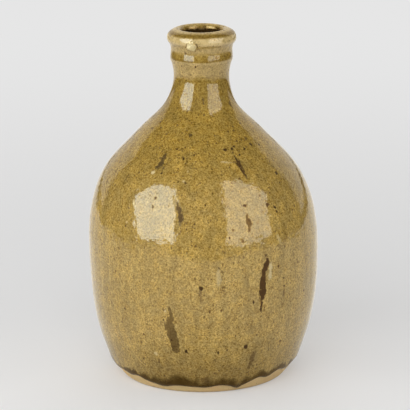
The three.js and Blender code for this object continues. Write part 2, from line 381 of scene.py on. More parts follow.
lower_wall = wall(FOOT, BELLY, 0.329, 0.547, 96, lean=0.746)
foot_corner = Vector((53.5, 0.0))
outside = joined(
    quarter(Vector((FOOT_REST_RADIUS, 0)), foot_corner, FOOT, 6),
    lower_wall,
    wall(BELLY, NECK, 0.592, 0.356, 128),
    quarter(NECK, Vector((16.8, 196.8)), COLLAR_RIDGE, 12),
    straight(COLLAR_RIDGE, COLLAR_TOP, 9),
    wall(COLLAR_TOP, LIP, 0.7, 0.35, 10),
    quarter(LIP, Vector((LIP.x, CREST.y)), CREST, 12),
    quarter(CREST, Vector((MOUTH.x, CREST.y)), MOUTH, 10),
    straight(MOUTH, MOUTH_FOOT, 8),
)
inside = joined(
    wall(MOUTH_FOOT, THROAT, 0.5, 0.5, 16),
    wall(THROAT, INNER_BELLY, 0.356, 0.592, 90),
    bend(INNER_BELLY, Vector((65.1, 41.4)), Vector((57.7, 12.5)), FLOOR_EDGE, 70),
    straight(FLOOR_EDGE, Vector((0, 12.5)), 10),
)
print("outside:", len(outside), "points, inside:", len(inside), "points")

# %% [markdown]
# A coat of glaze keeps its distance from the wall, so every point needs the way out of the
# clay: the outline's direction, turned by a quarter.

# %% Ways out of the clay
def ways_out(points):
    ways = []
    for i in range(len(points)):
        along = points[min(i + 1, len(points) - 1)] - points[max(i - 1, 0)]
        ways.append(Vector((along.y, -along.x)).normalized())
    return ways


outside_ways = ways_out(outside)
lining_ways = ways_out(inside)
print("at the foot the way out is", [round(v, 2) for v in outside_ways[0]])

# %% [markdown]
# A turned piece starts as a chain of vertices, one for each point of its profile, and the spin
# operator sweeps the chain round the axis. Every vertex keeps its place in the profile in a
# layer called ring, so that it can be moved to its own spot afterwards.

# %% Spinning a profile
def spun(name, profile, around, closed=False):
    """Turns a profile about the pot's axis, with each vertex marked by its place in the profile."""
    bm = bmesh.new()
    ring = bm.verts.layers.int.new("ring")
    chain = []
    for i, point in enumerate(profile):
        corner = bm.verts.new((0, -point.x, point.y))
        corner[ring] = i
        chain.append(corner)
    edges = [bm.edges.new(pair) for pair in zip(chain, chain[1:])]
    if closed:
        edges.append(bm.edges.new((chain[-1], chain[0])))
    bmesh.ops.spin(
        bm, geom=chain + edges, axis=(0, 0, 1), cent=(0, 0, 0),
        angle=2 * math.pi, steps=around, use_merge=True,
    )
    bmesh.ops.remove_doubles(bm, verts=bm.verts, dist=0.0001)
    bmesh.ops.recalc_face_normals(bm, faces=bm.faces)
    print(name, "spun:", len(bm.verts), "vertices")
    return bm, ring


# %% [markdown]
# ## What the hand leaves behind
#
# No thrown pot is a perfect turning. The axis wanders a little where the shoulder was closed
# in, the foot was trimmed a little narrower, the wall keeps faint rings from the fingers, and
# it is never quite round. One function moves a point for all of that, and every piece uses
# it, so the coats stay on the clay. A wander is a size, a height and a width. Smooth noise
# makes the rings and the unroundness, because it gives the same answer each run.

# %% Hand-made unevenness
SHOULDER_WANDER = (-1.35, 150.0, 38.0)
BELLY_WANDER = (0.3, 62.0, 18.0)
FOOT_WANDER = (-0.3, 0.0, 9.0)
TRIMMED_FOOT = (-2.4, 1.0, 4.6)
FINGER_RING_PITCH = 11.0
FINGER_RING_DEPTH = 0.16
HOLLOW_PITCH = 24.0
HOLLOW_DEPTH = 0.34


def hump(value, size, middle, width):
    return size * math.exp(-(((value - middle) / width) ** 2))


def by_hand(angle, radius, height):
    """The place of a point of the turned shape, moved as the maker's hands left it."""
    way = direction(math.degrees(angle))
    # Nothing moves at the foot ring, so that the pot stands flat, and little on the neck.
    fade = min(1.0, max(0.0, height - 1.0) / 12.0) * min(1.0, radius / 30.0 + 0.15)
    rings = noise.noise(Vector((way.x * 0.5, way.y * 0.5, height / FINGER_RING_PITCH)))
    spot = Vector((way.x * radius, way.y * radius, height * 0.8)) / HOLLOW_PITCH
    push = fade * (FINGER_RING_DEPTH * rings + HOLLOW_DEPTH * noise.noise(spot))
    wander = sum(hump(height, *bump) for bump in (SHOULDER_WANDER, BELLY_WANDER, FOOT_WANDER))
    trimmed = min(1.0, max(0.0, 1 - (FOOT_REST_RADIUS - radius) / FOOT_RING_WIDTH))
    radius = radius + push + trimmed * hump(height, *TRIMMED_FOOT)
    return Vector((radius * way.x + wander, radius * way.y, height))


def settled(bm, name, place_of):
    """Moves every vertex to its place, sets the size to metres and makes the object."""
    for corner in bm.verts:
        corner.co = place_of(corner)
    bmesh.ops.scale(bm, verts=bm.verts, vec=(MM, MM, MM))
    bmesh.ops.recalc_face_normals(bm, faces=bm.faces)
    for face in bm.faces:
        face.smooth = True
    piece = shown(bm, name)
    print(name, "has", sum(len(face.vertices) - 2 for face in piece.data.polygons), "triangles")
    return piece


def turned_angle(corner):
    return math.atan2(corner.co.x, -corner.co.y)


print("the shoulder leans by", round(by_hand(0, BELLY.x, SHOULDER_WANDER[1]).x, 2), "mm")

# %% [markdown]
# ## The clay body
#
# The body shows only at the foot: a bare strip under the glaze and the ring it stands on,
# trimmed with a sharp tool as the pot spun upside down. The rest is hidden, but it is made
# whole, because a potter's wall has two faces and the glaze has to lie on something.
# Spinning the closed outline gives both faces, the foot ring and the mouth in one step.

# %% Thrown clay
CLAY_AROUND = 192
RECESS_POINTS = 60
TOOL_RING_PITCH = 1.9
TOOL_RING_DEPTH = 0.09

ring_inner = FOOT_REST_RADIUS - FOOT_RING_WIDTH
recess_edge = Vector((ring_inner - FOOT_RECESS_ROUND, FOOT_RECESS_DEPTH))
recess_side = Vector((ring_inner, FOOT_RECESS_DEPTH - FOOT_RECESS_ROUND))
underside = joined(
    straight(Vector((0, FOOT_RECESS_DEPTH)), recess_edge, RECESS_POINTS),
    quarter(recess_edge, Vector((ring_inner, FOOT_RECESS_DEPTH)), recess_side, 6),
    straight(recess_side, Vector((ring_inner, 0)), 3),
    straight(Vector((ring_inner, 0)), Vector((FOOT_REST_RADIUS, 0)), 8),
)
clay_profile = joined(underside, outside[::2] + outside[-1:], inside)


def clay_place(corner):
    point = clay_profile[corner[ring]]
    height = point.y
    if 0 < corner[ring] < RECESS_POINTS:
        height += TOOL_RING_DEPTH * math.sin(2 * math.pi * point.x / TOOL_RING_PITCH)
    return by_hand(turned_angle(corner), point.x, height)


bm, ring = spun("thrown_clay", clay_profile, CLAY_AROUND)
thrown_clay = settled(bm, "thrown_clay", clay_place)
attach(thrown_clay, "root")
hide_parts("stoneware_body")

# %% [markdown]
# ## The outer glaze
#
# The pot was held by the foot and dipped upside down. The glaze stops a few millimetres above
# the table in a wavy line, and where it melted it crept lower in blunt runs and gathered in a
# rounded bead. Each run is given as an angle, a width and the height that it reaches, and the
# line between them rises a little towards the back.

# %% Lower edge of the glaze
EDGE_LINE = 5.0
EDGE_RISE = 2.0
EDGE_RUNS = [
    (-82, 15, 10.4), (-61, 8, 8.4), (-46, 6, 8.0), (-27, 5, 3.6), (-15, 5, 5.6), (0, 4, 4.4),
    (10, 4, 6.0), (22, 3.6, 2.6), (36, 6, 8.4), (52, 8, 9.8), (74, 14, 11.0), (100, 8, 6.4),
    (114, 8, 3.2), (140, 9, 6.2), (171, 9, 3.8), (-150, 10, 6.4), (-126, 9, 2.8), (-106, 8, 6.0),
]
EDGE_RIPPLE = 0.35
EDGE_RIPPLES_ROUND = 4.5


def glaze_edge(angle):
    """Height of the glaze's lower edge at an angle in degrees."""
    height = EDGE_LINE + EDGE_RISE * (1 - math.cos(math.radians(angle))) / 2
    for middle, width, low in EDGE_RUNS:
        away = (angle - middle + 180) % 360 - 180
        height += math.exp(-((away / width) ** 2)) * (low - height)
    return height + EDGE_RIPPLE * noise.noise(EDGE_RIPPLES_ROUND * direction(angle))


print("edge at the front:", round(glaze_edge(0), 1), "mm, at the back:", round(glaze_edge(180), 1))

# %% [markdown]
# Above the edge the coat rolls up into its bead and then stays almost even. Where the melt
# gathered or thinned it stands out or back by up to 0.6 mm, and it softens the ridge of the
# collar. Each bump of that relief is a size, a place and a width. Its place is a height on
# the wall, and the number of an outline's point round the rim.

# %% Thickness of the coat
TOE = 0.04
BEAD = 1.25
BEAD_HEIGHT = 1.7
BEAD_FADE = 4.0
ZONE_TOP = 20.0
WALL_RELIEF = [
    (-0.42, 187.0, 14.0), (-0.6, 171.5, 7.0), (0.5, 158.0, 6.5), (0.55, 131.0, 12.0),
    (-0.25, 206.7, 2.7), (-0.38, 214.6, 2.4),
]
RIM_RELIEF = [(0.5, 278.0, 3.2), (-0.35, 269.0, 3.5)]
CREST_POINT = 273

climb = [point.y for point in outside]


def on_clay(height):
    """The point of the wall at a height below the lip, with its way out."""
    after = next(i for i, level in enumerate(climb) if level > height)
    share = (height - climb[after - 1]) / (climb[after] - climb[after - 1])
    point = outside[after - 1].lerp(outside[after], share)
    return point, outside_ways[after - 1].lerp(outside_ways[after], share)


def coat_thickness(above_edge):
    roll = math.sqrt(1 - (1 - min(above_edge / BEAD_HEIGHT, 1)) ** 2)
    bead = COAT + (BEAD - COAT) * math.exp(-max(above_edge - BEAD_HEIGHT, 0) / BEAD_FADE)
    return TOE + (bead - TOE) * roll


def relief(k):
    """How far the coat's face lies in front of an even coat, at one point of the outline."""
    wall_part = sum(hump(climb[k], *bump) for bump in WALL_RELIEF) if k <= CREST_POINT else 0.0
    return wall_part + sum(hump(k, *bump) for bump in RIM_RELIEF)


def eased(points, k):
    """A point averaged with its neighbours, as melted glass rounds a sharp edge."""
    near = points[max(k - 1, 0):k + 2]
    return sum(near, Vector((0, 0))) / len(near)


print("bead:", round(coat_thickness(BEAD_HEIGHT), 2), "mm, coat:", round(coat_thickness(ZONE_TOP), 2))

# %% [markdown]
# The lowest rings follow the edge: each angle has its own edge height, and the rings up to the
# even wall are spread in the same shares at every angle. The back of the coat is sunk a little
# into the clay, so that no gap shows. The profile only has to keep its points apart, because
# every vertex is then put in its place.

# %% Glaze coat
COAT_AROUND = 240
ZONE_RINGS = 24
SUNK = 0.12
SUNK_EDGE = 0.3
INNER_STEP = 12
KEPT_APART = 0.01
UNDER_EDGE = Vector((50.0, 3.0))

zone_end = next(i for i, level in enumerate(climb) if level > ZONE_TOP)
zone_shares = [(step / ZONE_RINGS) ** 2 for step in range(ZONE_RINGS)]
upper = list(range(zone_end, len(outside)))
back = upper[::-INNER_STEP] + [zone_end]
coat_profile = [outside[0]] * ZONE_RINGS + [outside[i] for i in upper]
coat_profile = [point + i * Vector((KEPT_APART, KEPT_APART)) for i, point in enumerate(coat_profile)]
inner_start = len(coat_profile)
coat_profile += [outside[i] - outside_ways[i] for i in back] + [UNDER_EDGE]


def coat_place(corner):
    angle = turned_angle(corner)
    edge = glaze_edge(math.degrees(angle))
    i = corner[ring]
    if i < ZONE_RINGS:
        height = edge + zone_shares[i] * (climb[zone_end] - edge)
        point, way = on_clay(height)
        point = point + way * coat_thickness(height - edge)
        corner[above_edge] = height - edge
    elif i < inner_start:
        k = upper[i - ZONE_RINGS]
        point = eased(outside, k) + outside_ways[k] * (COAT + relief(k))
        corner[above_edge] = climb[k] - edge
    elif i < len(coat_profile) - 1:
        k = back[i - inner_start]
        point = outside[k] - outside_ways[k] * SUNK
    else:
        point, way = on_clay(edge + SUNK_EDGE)
        point = point - way * SUNK
    return by_hand(angle, point.x, point.y)


bm, ring = spun("olive_glaze_coat", coat_profile, COAT_AROUND, closed=True)
above_edge = bm.verts.layers.float.new("above_edge")
olive_glaze_coat = settled(bm, "olive_glaze_coat", coat_place)
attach(olive_glaze_coat, "root")
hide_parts("outer_glaze")

# %% [markdown]
# ## The lining
#
# Glaze was poured in, swirled round and poured out, so the lining is thinner than the coat
# outside. It meets the outer coat a finger's width down the mouth, and only that much shows.

# %% Lining
LINING_AROUND = 128
LINING_REACH = 0.9
LINING_START = 2.0

lining_face = [point + way * LINING_REACH for point, way in zip(inside, lining_ways)]
lining_face[-1].x = 0
lining_face = [lining_face[0] + Vector((0, LINING_START))] + lining_face
lining_back = [point - way * SUNK for point, way in zip(inside, lining_ways)][::3]
lining_back = [lining_back[0] + Vector((0, LINING_START))] + lining_back
lining_back.append(Vector((0, lining_back[-1].y)))
lining_profile = lining_face[::-1] + lining_back

bm, ring = spun("lining_coat", lining_profile, LINING_AROUND)


def lining_place(corner):
    point = lining_profile[corner[ring]]
    return by_hand(turned_angle(corner), point.x, point.y)


lining_coat = settled(bm, "lining_coat", lining_place)
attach(lining_coat, "root")
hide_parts("inner_glaze")

# %% [markdown]
# ## The crumb of kiln grit
#
# A crumb fell from the kiln's roof and the melting glaze caught it. It is a small stone, so a
# fine ball is squeezed to its size and every point is pushed in or out by two sizes of
# noise: one for its corners and one for its gritty skin. Its back is sunk in the glaze.

# %% Grit
GRIT_ANGLE = -18.0
GRIT_HEIGHT_ON_POT = 211.8
GRIT_SIZE = Vector((6.4, 4.0, 4.8))
GRIT_OUT = 20.75
GRIT_CORNERS = 0.22
GRIT_CORNER_PITCH = 2.1
GRIT_SKIN = 0.05
GRIT_SKIN_PITCH = 9.0

bm = bmesh.new()
bmesh.ops.create_icosphere(bm, subdivisions=5, radius=0.5)
for corner in bm.verts:
    push = GRIT_CORNERS * noise.noise(corner.co * GRIT_CORNER_PITCH + Vector((3.1, 0.4, 7.7)))
    push += GRIT_SKIN * noise.noise(corner.co * GRIT_SKIN_PITCH)
    corner.co *= 1 + push
bmesh.ops.scale(bm, verts=bm.verts, vec=GRIT_SIZE)
bmesh.ops.rotate(bm, verts=bm.verts, cent=(0, 0, 0), matrix=Matrix.Rotation(0.35, 3, "Y"))
grit_place = Vector((0, -GRIT_OUT, GRIT_HEIGHT_ON_POT))
bmesh.ops.translate(bm, verts=bm.verts, vec=grit_place)
grit_turn = Matrix.Rotation(math.radians(GRIT_ANGLE), 3, "Z")
bmesh.ops.rotate(bm, verts=bm.verts, cent=(0, 0, 0), matrix=grit_turn)
grit_crumb = settled(bm, "grit_crumb", lambda corner: corner.co)
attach(grit_crumb, "root")
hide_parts("kiln_grit")

# %% [markdown]
# ## Effects that several finishes share
#
# Each effect is a node group, built once, with its own named inputs. The first gives a place on
# the pot in millimetres. It reads Object coordinates, so a pattern stays where it is when the
# pot or the camera moves.

# %% Place on the pot
def scaled(tree, vector, factor):
    made = node(tree, "VectorMath", {"Scale": factor}, operation="SCALE")
    feed(tree, made.inputs[0], vector)
    return made.outputs[0]


def effect(name, inputs, outputs):
    """An empty node group with named sockets, with its input and output nodes."""
    group = bpy.data.node_groups.new(name, "ShaderNodeTree")
    kinds = {"value": "NodeSocketFloat", "vector": "NodeSocketVector", "colour": "NodeSocketColor"}
    for label, kind in inputs.items():
        group.interface.new_socket(label, in_out="INPUT", socket_type=kinds[kind])
    for label, kind in outputs.items():
        group.interface.new_socket(label, in_out="OUTPUT", socket_type=kinds[kind])
    return group, group.nodes.new("NodeGroupInput").outputs, group.nodes.new("NodeGroupOutput").inputs


def use(tree, group, inputs=None):
    return node(tree, "Group", inputs, node_tree=group).outputs


places = {"Place": "vector", "Height": "value", "Radius": "value"}
pot_place, given, made = effect("pot_place", {}, places)
here = node(pot_place, "TexCoord").outputs["Object"]
in_millimetres = scaled(pot_place, here, 1 / MM)
feed(pot_place, made["Place"], in_millimetres)
feed(pot_place, made["Height"], node(pot_place, "SeparateXYZ", {"Vector": in_millimetres}).outputs["Z"])
flat = vector_sums(pot_place, "MULTIPLY", in_millimetres, (1, 1, 0))
feed(pot_place, made["Radius"], vector_sums(pot_place, "LENGTH", flat, result="Value"))
print("place on the pot:", list(places))

# %% [markdown]
# Ash glaze is never one colour. Close up it is a mesh of fine darker and lighter grains, and
# from a step away it drifts in mottles, soft clouds and runs that are drawn out along the way
# it flowed. The grain group makes all four from noise, each from -1 to 1, with a pitch in
# millimetres, a roughness, a spread and a squeeze, which draws the runs out in height.

# %% Grain
def noise_at(tree, place, scale, detail=2.0, roughness=0.5, result="Fac"):
    fields = {"Vector": place, "Scale": scale, "Detail": detail, "Roughness": roughness}
    return node(tree, "TexNoise", fields).outputs[result]


GRAIN_PATTERNS = {
    "Fine": (1.1, 0.85, 0.28, (1, 1, 1)),
    "Mottle": (5.5, 0.6, 0.2, (1, 1, 1)),
    "Clouds": (24.0, 0.5, 0.2, (1, 1, 1)),
    "Runs": (5.0, 0.5, 0.2, (1, 1, 0.16)),
}

grain, given, made = effect("grain", {"Place": "vector"}, dict.fromkeys(GRAIN_PATTERNS, "value"))
for name, (pitch, roughness, spread, squeeze) in GRAIN_PATTERNS.items():
    drawn = vector_sums(grain, "MULTIPLY", given["Place"], squeeze)
    pattern = noise_at(grain, drawn, 1 / pitch, detail=3.0, roughness=roughness)
    feed(grain, made[name], ramp(grain, pattern, 0.5 - spread, 0.5 + spread, -1.0, 1.0))
print("grain:", len(grain.nodes), "nodes")

# %% [markdown]
# Iron in the clay burns through the glaze as dark flecks. Voronoi cells place one fleck per
# cell at a random spot. A second random number per cell decides whether it shows and how large
# it is, so that the flecks are scattered and not spaced. The place is warped by noise first,
# so that no fleck is a neat disc.

# %% Iron flecks
def warped(tree, place, amount, scale, detail, squeeze=(1, 1, 1)):
    """A place that noise has moved by up to half the amount along each axis."""
    there = vector_sums(tree, "MULTIPLY", place, squeeze)
    shift = noise_at(tree, there, scale, detail=detail, result="Color")
    shift = scaled(tree, vector_sums(tree, "SUBTRACT", shift, (0.5, 0.5, 0.5)), amount)
    return vector_sums(tree, "ADD", place, shift)


flecks, given, made = effect(
    "iron_flecks",
    {"Place": "vector", "Pitch": "value", "Size": "value", "Share": "value"},
    {"Flecks": "value"},
)
spot = warped(flecks, given["Place"], 1.2, 0.9, 1.0)
spot = vector_sums(flecks, "MULTIPLY", spot, (1.0, 1.0, 0.8))
spot = vector_sums(flecks, "DIVIDE", spot, node(flecks, "CombineXYZ", {
    "X": given["Pitch"], "Y": given["Pitch"], "Z": given["Pitch"],
}).outputs[0])
cells = node(flecks, "TexVoronoi", {"Vector": spot, "Scale": 1.0, "Randomness": 1.0}).outputs
chance = node(flecks, "SeparateColor", {"Color": cells["Color"]}).outputs
shows = sums(flecks, "LESS_THAN", chance[0], given["Share"])
reach = times(flecks, given["Size"], times_plus(flecks, chance[1], 0.9, 0.5))
away = times(flecks, cells["Distance"], given["Pitch"])
dot = ramp(flecks, sums(flecks, "SUBTRACT", reach, away), -0.12, 0.12)
strength = times_plus(flecks, chance[2], 0.6, 0.4)
feed(flecks, made["Flecks"], times(flecks, dot, times(flecks, shows, strength)))
print("iron flecks:", len(flecks.nodes), "nodes")


def flecked(tree, place, pitch, size, share):
    return use(tree, flecks, {"Place": place, "Pitch": pitch, "Size": size, "Share": share})["Flecks"]


# %% [markdown]
# A glassy surface is smooth, but not flat: it dimples like the skin of an orange, and here and
# there a bubble has burst into a pin-hole. The dimples bend the reflected softboxes, which
# gives the windows on the belly their ragged outline. The neck is calmer than the belly.
# Heights are in millimetres.

# %% Dimples and pin-holes
DIMPLE_PITCH = 4.2
DIMPLE_DEPTH = 0.18
RIPPLE_PITCH = 1.6
RIPPLE_DEPTH = 0.03
PIT_DEPTH = 0.12

skin, given, made = effect(
    "glassy_skin",
    {"Place": "vector", "Height": "value", "Pits": "value"},
    {"Height": "value", "Pits": "value"},
)
dimples = noise_at(skin, given["Place"], 1 / DIMPLE_PITCH, detail=1.5)
ripples = noise_at(skin, given["Place"], 1 / RIPPLE_PITCH, detail=1.0)
height = times_plus(skin, dimples, DIMPLE_DEPTH, times(skin, ripples, RIPPLE_DEPTH))
holes = flecked(skin, given["Place"], 7.5, 0.30, given["Pits"])
calm = ramp(skin, given["Height"], 164.0, 180.0, 1.0, 0.3)
height = sums(skin, "SUBTRACT", times(skin, height, calm), times(skin, holes, PIT_DEPTH))
feed(skin, made["Height"], height)
feed(skin, made["Pits"], holes)
print("glassy skin:", len(skin.nodes), "nodes")

# %% [markdown]
# Larger bits of iron melted and ran, and left streaks as if a brush had been drawn down the
# wall. A streak is painted as a row of dabs. Each dab is a long ball: a spherical gradient on
# coordinates that a Mapping node has moved, turned and squeezed to the dab's size. Its depth
# inside the ball is kept in millimetres, so a thin dab is as crisp as a wide one. The place is
# warped first, which tears the edges.

# %% Dabs of the brush
DAB_OVERLAP = 1.9
DAB_WIDENING = 1.3
DOT_LENGTH = 1.2


def on_glaze(angle, height):
    """A place on the outer glaze: the angle from the front in degrees, the height in millimetres."""
    point, way = on_clay(height)
    point = point + way * COAT
    return by_hand(math.radians(angle), point.x, point.y)


def dab(tree, place, start, end, width):
    """Depth inside a long ball that reaches from start to end, and 0 outside it."""
    along = end - start
    half_length = max(DAB_OVERLAP * along.length / 2, DOT_LENGTH * width / 2)
    turn = along.to_track_quat("Z", "Y").to_euler() if along.length > 0 else (0, 0, 0)
    squeeze = {
        "Vector": place, "Location": (start + end) / 2, "Rotation": turn,
        "Scale": (width / 2, width / 2, half_length),
    }
    local = node(tree, "Mapping", squeeze, vector_type="TEXTURE").outputs[0]
    ball = node(tree, "TexGradient", {"Vector": local}, gradient_type="SPHERICAL").outputs["Fac"]
    return times(tree, ball, width / 2)


def painted(tree, place, marks, tear=1.0, softness=0.45):
    """The mask of a list of marks: a strength, then points of (angle, height, width)."""
    mask = 0.0
    for strength, *points in marks:
        spots = [on_glaze(angle, height) for angle, height, _ in points]
        widths = [width for _, _, width in points]
        depth = 0.0
        for i in range(max(len(spots) - 1, 1)):
            last = min(i + 1, len(spots) - 1)
            width = DAB_WIDENING * (widths[i] + widths[last]) / 2
            depth = larger(tree, depth, dab(tree, place, spots[i], spots[last], width))
        mark = ramp(tree, times(tree, depth, tear), 0.0, softness, 0.0, strength)
        mask = larger(tree, mask, mark)
    return mask


print("a dab at the front lies at", [round(v, 1) for v in on_glaze(0, 100)])

# %% [markdown]
# ## Where the streaks are
#
# The streaks at the front are the bottle's own, read off its picture as an angle from the
# front, a height and a width. The back was never seen, so its streaks come from a seeded
# random draw of the same kind: they start high, widen and run out downwards.

# %% Streaks and spots
IRON_STREAKS = [
    (1.0, (32.4, 91.6, 2.1), (32.1, 89.3, 1.5), (33.4, 87.0, 2.8), (31.8, 83.6, 3.4), (30.6, 80.7, 3.4),
     (30.8, 77.7, 2.8), (30.4, 74.7, 4.7), (30.1, 69.8, 4.8), (29.8, 65.9, 4.0), (29.6, 62.9, 2.6),
     (29.8, 59.0, 1.8), (29.9, 55.5, 1.6)),
    (0.8, (33.1, 76.0, 1.0), (33.3, 71.5, 1.0)),
    (0.74, (-17.6, 60.5, 1.2), (-17.2, 57.0, 2.2), (-16.9, 54.2, 3.2), (-17.8, 50.0, 4.4),
     (-17.6, 45.0, 6.2), (-16.0, 41.0, 5.4), (-15.4, 37.5, 4.8), (-15.2, 34.0, 4.4), (-15.0, 31.4, 3.0)),
    (0.95, (-13.8, 125.0, 1.6), (-12.6, 121.5, 3.0), (-11.6, 118.0, 3.2), (-10.9, 115.0, 3.2),
     (-11.1, 111.5, 1.6)),
    (0.9, (23.6, 116.2, 1.8), (24.2, 113.6, 3.2), (24.6, 110.6, 3.0), (23.6, 106.8, 1.6)),
    (0.8, (-28.4, 148.4, 1.6), (-28.9, 145.0, 3.4), (-29.6, 142.4, 3.2), (-32.0, 140.7, 1.8)),
    (0.7, (-26.2, 143.5, 1.4), (-25.4, 139.4, 1.0)),
    (0.95, (26.9, 148.6, 1.2), (27.8, 145.0, 2.2), (28.2, 142.6, 3.4), (29.2, 137.2, 1.8)),
    (0.6, (56.0, 179.2, 1.6), (56.3, 177.6, 1.2)),
    (0.65, (57.0, 175.4, 2.6), (58.0, 172.2, 2.4)),
    (0.8, (4.5, 179.6, 1.0), (4.2, 177.6, 1.6), (3.8, 175.8, 1.0)),
    (0.7, (-85.0, 165.8, 2.2), (-86.5, 163.0, 1.6)),
    (0.8, (-51.2, 134.0, 1.6), (-51.8, 130.0, 1.4)),
    (0.75, (-70.9, 132.7, 1.8), (-68.8, 126.5, 1.2)),
    (0.6, (-72.0, 105.5, 1.6), (-74.0, 102.0, 1.6)),
    # The last streak is the dark arc over the grit on the lip: partly glaze pooled round the crumb,
    # partly the crumb's painted shade.
    (0.75, (-29.0, 211.8, 1.0), (-25.0, 213.6, 1.3), (-18.5, 214.9, 1.4), (-11.0, 214.6, 1.5),
     (-7.5, 213.2, 1.4), (-7.2, 210.6, 1.0)),
]
FAINT_STREAKS = [
    (0.8, (-28.1, 155.3, 0.9), (-27.6, 150.1, 0.9)),
    (0.75, (43.4, 72.4, 0.9), (43.6, 66.0, 1.4), (43.4, 60.4, 2.2), (43.2, 56.0, 1.0)),
    (0.5, (-18.0, 30.4, 1.0), (-18.6, 24.0, 0.9), (-18.9, 18.4, 0.8)),
    (0.75, (27.7, 27.8, 2.8), (27.0, 23.0, 3.0), (26.0, 17.6, 1.4)),
    (0.6, (-10.0, 31.0, 1.6), (-10.0, 20.6, 1.0)),
    (0.6, (-2.1, 73.4, 1.0), (-1.4, 64.5, 2.6)),
    (0.4, (0.6, 27.0, 1.0), (0.6, 12.0, 1.2)),
    (0.6, (0.6, 11.2, 4.4)),
    (0.55, (-23.0, 8.8, 4.0)),
    (0.5, (-83.5, 158.5, 1.3), (-83.8, 155.0, 1.3)),
    (0.5, (-66.7, 146.5, 1.4), (-67.4, 143.0, 1.2)),
    (0.22, (46.0, 106.0, 5.0), (45.0, 98.0, 4.0)),
]
IRON_DOTS = [
    (18.3, 122.3, 1.3), (24.0, 121.4, 1.9), (37.6, 119.7, 2.0), (41.7, 118.1, 1.7), (42.3, 115.4, 1.6),
    (-25.7, 128.1, 1.5), (-26.7, 125.7, 1.8), (-26.9, 120.7, 1.9), (-12.9, 147.0, 1.8),
    (20.7, 151.1, 2.0), (27.2, 151.2, 1.4), (47.6, 151.4, 1.8), (39.1, 150.4, 1.4), (52.1, 128.9, 1.6),
    (30.0, 152.0, 1.5), (32.8, 179.7, 1.6), (25.0, 62.2, 1.7), (-1.8, 73.0, 2.2), (-9.5, 31.7, 2.4),
    (22.5, 33.4, 2.4), (7.2, 85.6, 1.1), (7.8, 30.9, 1.6), (43.4, 74.0, 1.6), (-26.5, 139.0, 1.5),
    (31.6, 148.0, 1.6),
]
PALE_BLEBS = [
    (0.9, (-31.6, 139.4, 2.2), (-33.0, 138.0, 2.4)),
    (0.8, (-39.6, 122.4, 2.4), (-38.6, 119.4, 1.8)),
    (0.7, (-10.7, 135.4, 1.8)),
    (0.6, (15.5, 145.0, 1.6), (21.5, 144.4, 2.0)),
    (0.75, (34.9, 84.6, 1.8), (34.6, 80.0, 3.0), (34.4, 76.0, 1.4)),
    (0.4, (7.0, 83.0, 2.0), (7.4, 76.0, 3.4)),
    (0.7, (-19.6, 57.6, 1.6)),
    (0.6, (-41.6, 109.3, 1.6)),
    (0.6, (-27.2, 28.5, 2.2)),
    (0.5, (40.2, 101.0, 2.6), (41.0, 97.0, 2.0)),
    (0.6, (-8.6, 141.0, 1.5)),
]

draw = random.Random(11)
for _ in range(11):
    angle = draw.uniform(95, 265)
    height = draw.uniform(60, 168)
    length = draw.uniform(6, 26)
    width = draw.uniform(1.6, 4.6)
    drift = draw.uniform(-2.5, 2.5)
    steps = max(2, round(length / 7))
    points = [(angle, height, 0.45 * width)]
    for step in range(1, steps + 1):
        share = step / steps
        girth = width * math.sin(math.pi * min(0.96, 0.25 + 0.75 * share))
        points.append((angle + drift * share + draw.uniform(-0.5, 0.5), height - length * share, girth))
    IRON_STREAKS.append((draw.uniform(0.6, 1.0), *points))
for _ in range(26):
    IRON_DOTS.append((draw.uniform(75, 285), draw.uniform(20, 190), draw.uniform(1.3, 2.3)))
print("streaks:", len(IRON_STREAKS) + len(FAINT_STREAKS), "dots:", len(IRON_DOTS))

# %% [markdown]
# ## The olive glaze
#
# Under the gloss, the colour is built in layers, as on the pot. Olive glass comes first: a
# dark and a pale olive mixed grain by grain, multiplied by a soft drift of tint and tone.
# Painted shade comes next: the colour is made a little darker on the flanks of the shoulder,
# round the foot and on one side of the neck, where less light fell. The glass lay thicker on
# the shoulder, so it is darker and less blue there, and that tint also holds painted shade for
# the shoulder, which faces the dark room above.

# %% Olive glaze
def linear(red, green, blue):
    """A colour written in the 0 to 255 steps of a screen, as the shader's light values."""
    steps = [step / 255 for step in (red, green, blue)]
    light = [s / 12.92 if s <= 0.04045 else ((s + 0.055) / 1.055) ** 2.4 for s in steps]
    return (*light, 1.0)


OLIVE_DARK = linear(116, 81, 2)
OLIVE_PALE = linear(224, 194, 111)
AMBER_TINT = (1.02, 1.0, 0.88, 1)
ASHEN_TINT = (0.96, 0.98, 1.02, 1)
THIN_TINT = (1.04, 1.02, 1.10, 1)
# The thick tint is partly thicker glass and partly painted shade on the shoulder.
THICK_SHADED_TINT = (0.82, 0.775, 0.63, 1)
TONES = {"Clouds": 0.07, "Runs": 0.12, "Mottle": 0.06}
# How much the painted shade darkens the flanks, the foot and the neck.
SHADE = -0.12
GLASS_IOR = 1.5


def toned(tree, colour, amount):
    """Multiplies a colour by an amount that varies over the surface."""
    grey = node(tree, "CombineColor", {"Red": amount, "Green": amount, "Blue": amount}).outputs[0]
    return mixed(tree, 1.0, colour, grey, way="MULTIPLY")


def zone(tree, value, start, full, fade, end):
    """1 from full to fade, and 0 below start and above end."""
    return sums(tree, "ADD", ramp(tree, value, start, full), ramp(tree, value, fade, end, 0.0, -1.0))


def pot_finish(name):
    """A new finish, with the place on the pot and the grain of the ash to build it from."""
    made, tree, shader = new_finish(name)
    spot = use(tree, pot_place)
    return made, tree, shader, spot, use(tree, grain, {"Place": spot["Place"]})


